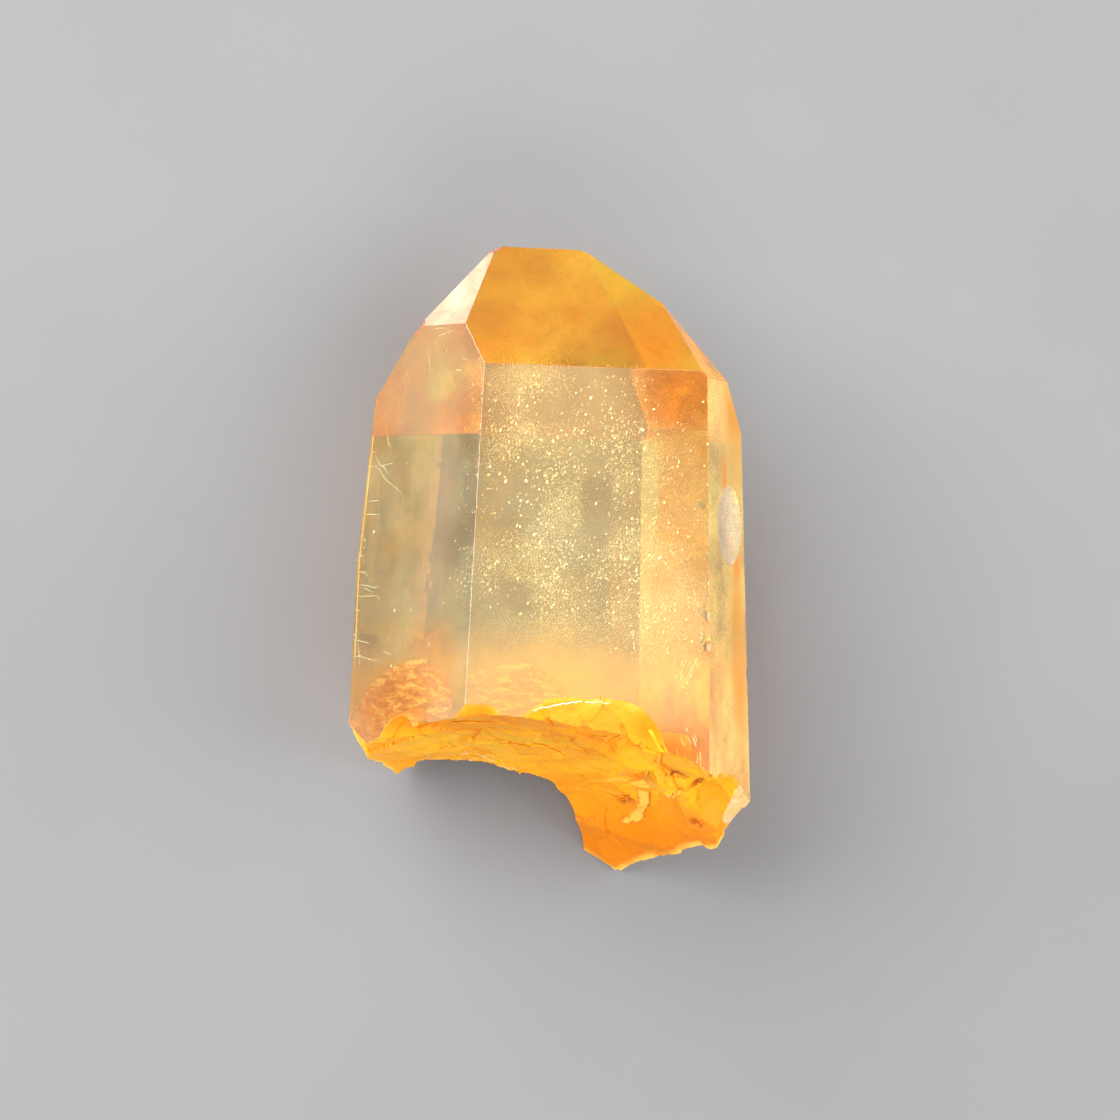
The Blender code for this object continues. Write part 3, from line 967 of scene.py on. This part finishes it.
def make_white_marks(chance):
    bm = bmesh.new()
    left_normal, _ = PLANES[LEFT_FACE]
    for line in HAIRLINES:
        points = [point_on(LEFT_FACE, x, y, HAIRLINE_DEPTH) for x, y in line]
        add_crack(bm, refined(points, 0.15, 0.012, chance), HAIRLINE_WIDTH, left_normal, chance)
    for x, y in LEFT_DOTS:
        point = point_on(LEFT_FACE, x, y, chance.uniform(0.2, 0.9))
        add_flake(bm, point, scattered(left_normal, 0.2, chance), chance.uniform(0.04, 0.09), chance, 1.4)
    for face, (middle_x, middle_y), spread, (run_x, run_y), count in SPURS:
        for _ in range(count):
            x, y = middle_x + chance.gauss(0.0, spread), middle_y + chance.gauss(0.0, spread)
            reach = chance.uniform(0.4, 1.2)
            start_depth, end_depth = SPUR_DEPTHS
            ends = [(x, y, start_depth), (x + run_x * reach, y + run_y * reach, end_depth)]
            points = [point_on(face, *end) for end in ends]
            add_crack(bm, refined(points, 0.12, 0.02, chance), SPUR_WIDTH, PLANES[face][0], chance)
    # Painted highlight: a thin white ribbon under the front face along the break's upper rim.
    front_normal, _ = PLANES[FRONT_FACE]
    rim = [point_on(FRONT_FACE, x, y, RIM_HIGHLIGHT_DEPTH) for x, y in RIM_HIGHLIGHT_LINE]
    add_crack(bm, refined(rim, 0.15, 0.03, chance), RIM_HIGHLIGHT_WIDTH, front_normal, chance)
    # The white hairlines, dots and spurs share this material with the painted rim highlight.
    white = mark_material("white_cracks_and_rim_highlight", (1.0, 0.90, 0.72), (1.0, 0.97, 0.90), 0.4)
    add_inclusion("white_cracks_and_rim_highlight", bm, white)


# Clusters of iron specks on the break: centre x, z; spread; count; largest radius.
IRON_SPECKS = [
    ((6.8, 4.3), 0.16, 14, 0.11),
    ((7.3, 5.2), 0.30, 10, 0.06),
    ((7.9, 5.0), 0.22, 8, 0.07),
    ((8.6, 2.6), 0.20, 14, 0.10),
    ((9.1, -0.1), 0.20, 14, 0.12),
    ((8.9, 1.2), 0.15, 6, 0.05),
    ((8.6, -0.8), 0.35, 8, 0.04),
    ((9.9, 1.0), 0.65, 42, 0.03),
    ((5.3, -4.3), 0.25, 6, 0.05),
    ((1.6, 3.9), 0.60, 7, 0.04),
    ((3.0, 0.5), 0.50, 6, 0.04),
    ((-3.0, 1.0), 2.00, 16, 0.05),
    ((-1.0, -5.0), 2.00, 14, 0.05),
]


def break_point(x, z):
    height = break_height(x, z)
    offset, _ = fine_relief(x, height, z)
    return Vector((x, height + offset, z))


def break_outward(x, z):
    rise_x = break_point(x + SLOPE_STEP, z).y - break_point(x - SLOPE_STEP, z).y
    rise_z = break_point(x, z + SLOPE_STEP).y - break_point(x, z - SLOPE_STEP).y
    return Vector((rise_x, -2.0 * SLOPE_STEP, rise_z)).normalized()


# Dark stained cracks on the break, as the points x, z that each one runs through.
BREAK_CRACKS = [
    [(2.7, 3.5), (4.1, 6.8), (5.0, 7.5), (5.2, 7.9)],
    [(5.2, 7.9), (6.4, 8.2), (7.2, 8.1), (8.2, 8.0)],
    [(5.4, 4.3), (5.0, 7.4), (5.3, 8.0)],
    [(5.9, 0.1), (5.9, 0.7), (5.6, 3.6)],
    [(7.1, -1.1), (7.1, 2.0), (7.6, 2.8)],
    [(6.5, -2.1), (6.8, -3.4), (6.6, -4.9), (6.0, -6.0)],
    [(4.3, -4.4), (5.0, -4.4), (5.6, -4.0), (5.4, -4.7)],
    [(1.5, 3.9), (2.0, 4.0), (2.5, 4.0)],
    [(-8.0, 3.0), (-6.0, 4.2), (-4.5, 4.0)],
    [(-3.5, -1.0), (-1.0, -0.2), (1.0, -1.2)],
]
BREAK_CRACK_WIDTH = 0.09
BREAK_CRACK_FACING = Vector((0.0, 0.35, 1.0))  # their flat side turns this way
BREAK_CRACK_LIFT = 0.015  # mm off the break
SPECK_LIFT = 0.012
SPECK_MARGIN = 0.05  # mm from the rim, at least
SLOPE_STEP = 0.15  # mm to each side, over which the break's slope is measured


def make_break_cracks(chance):
    bm = bmesh.new()
    for line in BREAK_CRACKS:
        route = refined([Vector((x, 0.0, z)) for x, z in line], 0.12, 0.03, chance)
        points = []
        for place in route:
            outward = break_outward(place.x, place.z)
            points.append(break_point(place.x, place.z) + outward * BREAK_CRACK_LIFT)
        add_crack(bm, points, BREAK_CRACK_WIDTH, BREAK_CRACK_FACING, chance)
    rust = mark_material("break_cracks", (0.46, 0.09, 0.002), (0.75, 0.22, 0.006), 0.6, shine=0.1)
    add_inclusion("break_cracks", bm, rust)


def make_iron_specks(chance):
    bm = bmesh.new()
    for (centre_x, centre_z), spread, count, largest in IRON_SPECKS:
        for _ in range(count):
            x = centre_x + chance.gauss(0.0, spread)
            z = centre_z + chance.gauss(0.0, spread)
            outward = break_outward(x, z)
            point = break_point(x, z) + outward * SPECK_LIFT
            if all(point.dot(normal) < distance - SPECK_MARGIN for normal, distance in PLANES.values()):
                radius = largest * chance.uniform(0.35, 1.0)
                add_flake(bm, point, outward, radius, chance, chance.uniform(0.7, 1.6))
    iron = mark_material("iron_specks", (0.30, 0.05, 0.002), (0.62, 0.16, 0.008), 0.7, shine=0.1)
    add_inclusion("iron_specks", bm, iron)


SMUDGE_COUNT = 60
SMUDGE_NICKS = [(-4.7, 0.35), (-3.0, 0.15), (3.5, 0.12)]  # y along the front right edge; spread
FRONT_RIGHT_EDGE = 7.62  # x of the edge at y = 0
FRONT_RIGHT_TAPER = 0.02  # how far the edge moves in for each mm of y


def make_edge_smudges(chance):
    """Olive dirt in the nicks of the front right edge."""
    bm = bmesh.new()
    outward, _ = PLANES[FRONT_FACE]
    for _ in range(SMUDGE_COUNT):
        y = chance.choice([chance.gauss(nick, spread) for nick, spread in SMUDGE_NICKS])
        x = FRONT_RIGHT_EDGE - abs(chance.gauss(0.0, 0.16)) - FRONT_RIGHT_TAPER * y
        point = point_on(FRONT_FACE, x, y, chance.uniform(0.05, 0.35))
        add_flake(bm, point, scattered(outward, 0.3, chance), chance.uniform(0.03, 0.09), chance, 1.8)
    dirt = mark_material("edge_smudges", (0.20, 0.15, 0.03), (0.42, 0.30, 0.07), 0.6)
    add_inclusion("edge_smudges", bm, dirt)


# Corners of the stained crack under the front face, in turn round it: x, y, depth.
STAINED_CRACK = [(4.3, -10.0, 0.35), (6.8, -10.3, 1.1), (7.5, -12.2, 1.0), (5.1, -11.3, 0.25)]
CRACK_WAVE = 0.18
CRACK_WAVE_LENGTH = 0.9


def make_stained_crack():
    """A yellow-stained crack that runs into the crystal from the break, under the front face."""
    corners = [point_on(FRONT_FACE, *corner) for corner in STAINED_CRACK]
    columns, rows = 18, 14
    bm = bmesh.new()
    grid = []
    for row in range(rows + 1):
        left = corners[0].lerp(corners[3], row / rows)
        right = corners[1].lerp(corners[2], row / rows)
        line = []
        for column in range(columns + 1):
            point = left.lerp(right, column / columns)
            point.z += CRACK_WAVE * noise.noise(point / CRACK_WAVE_LENGTH)
            line.append(bm.verts.new(point))
        grid.append(line)
    for upper, lower in zip(grid, grid[1:]):
        for a, b, c, d in zip(upper, upper[1:], lower[1:], lower):
            bm.faces.new((a, b, c, d))
    nodes = Nodes("stained_crack")
    color = nodes.ramp(nodes.noise(900.0, 4.0), [(0.3, (0.90, 0.50, 0.03)), (0.7, (0.86, 0.36, 0.010))])
    nodes.set(Base_Color=color, Transmission_Weight=0.15, IOR=1.02, Roughness=0.2)
    add_inclusion("stained_crack", bm, nodes.material)


def make_inclusions():
    chance = random.Random(SEED)
    share = 1.0
    glitter = mark_material("glitter", (1.0, 0.94, 0.76), (1.0, 0.98, 0.92), 0.25, metallic=0.4)
    veil = mark_material("veils", (1.0, 0.89, 0.64), (1.0, 0.94, 0.80), 0.4)
    points = glitter_points(chance, round(GLITTER_COUNT * share))
    make_flakes("glitter", points, GLITTER_RADII, GLITTER_SPREAD, glitter, chance)
    points = veil_points(chance, round(VEIL_COUNT * share))
    make_flakes("veils", points, VEIL_RADII, VEIL_SPREAD, veil, chance, sides=4)
    make_white_marks(chance)
    make_break_cracks(chance)
    make_iron_specks(chance)
    make_edge_smudges(chance)
    make_stained_crack()


# ---- Stage ----
FLOOR_SIZE = 1.5
FLOOR_COLORS = [(0.3, (0.172, 0.176, 0.185)), (0.7, (0.182, 0.186, 0.195))]
# Softboxes that face the crystal: place and size in m, power in W, colour.
LIGHTS = {
    "key_light": ((-0.34, 0.28, 0.24), (0.56, 0.56), 9.9, (1.0, 0.97, 0.92)),
    "root_light": ((0.05, -0.32, 0.34), (0.40, 0.24), 1.3, (1.0, 0.98, 0.95)),
    "right_light": ((0.36, 0.06, 0.30), (0.36, 0.36), 2.2, (1.0, 1.0, 1.0)),
}
SKY_COLOR = (0.95, 0.97, 1.0, 1.0)
SKY_STRENGTH = 0.50
MOST_BOUNCES = 20  # light is passed on many times inside the crystal


def camera_matrix():
    side = math.radians(CAMERA_SIDE)
    roll = math.radians(CAMERA_ROLL)
    back = Vector((-math.sin(side), 0.0, math.cos(side)))
    level_up = Vector((0.0, 1.0, 0.0))
    level_right = level_up.cross(back)
    up = level_up * math.cos(roll) - level_right * math.sin(roll)
    right = level_right * math.cos(roll) + level_up * math.sin(roll)
    pose = Matrix((right, up, back)).transposed().to_4x4()
    pose.translation = back * CAMERA_DISTANCE
    return pose


def make_camera():
    data = bpy.data.cameras.new("camera")
    data.lens = LENS
    data.sensor_width = SENSOR
    data.clip_start = 0.01
    camera = bpy.data.objects.new("camera", data)
    bpy.context.scene.collection.objects.link(camera)
    place = TO_PART @ camera_matrix()
    camera.matrix_world = Matrix.LocRotScale(place.to_translation(), place.to_quaternion(), None)
    bpy.context.scene.camera = camera


def make_floor():
    nodes = Nodes("floor")
    nodes.set(Base_Color=nodes.ramp(nodes.noise(40.0, 3.0), FLOOR_COLORS), Roughness=0.8)
    bm = bmesh.new()
    bmesh.ops.create_grid(bm, x_segments=1, y_segments=1, size=FLOOR_SIZE)
    floor = new_object("floor", bm)
    floor.location.z = -AIR_GAP
    floor.data.materials.append(nodes.material)


def area_light(name, place, size, power, color):
    data = bpy.data.lights.new(name, "AREA")
    data.shape = "RECTANGLE"
    data.size, data.size_y = size
    data.energy = power
    data.color = color
    light = bpy.data.objects.new(name, data)
    light.location = place
    light.rotation_mode = "QUATERNION"
    light.rotation_quaternion = (-Vector(place)).to_track_quat("-Z", "Y")
    bpy.context.scene.collection.objects.link(light)


def make_light():
    for name, light in LIGHTS.items():
        area_light(name, *light)
    world = bpy.data.worlds.new("studio")
    world.use_nodes = True
    background = world.node_tree.nodes["Background"]
    background.inputs["Color"].default_value = SKY_COLOR
    background.inputs["Strength"].default_value = SKY_STRENGTH
    bpy.context.scene.world = world


def set_colors_and_bounces():
    scene = bpy.context.scene
    scene.view_settings.view_transform = "Standard"
    scene.cycles.max_bounces = MOST_BOUNCES
    scene.cycles.transmission_bounces = MOST_BOUNCES
    scene.cycles.glossy_bounces = 8
    scene.cycles.diffuse_bounces = 4


make_camera()
make_crystal()
make_inclusions()
make_floor()
make_light()
set_colors_and_bounces()
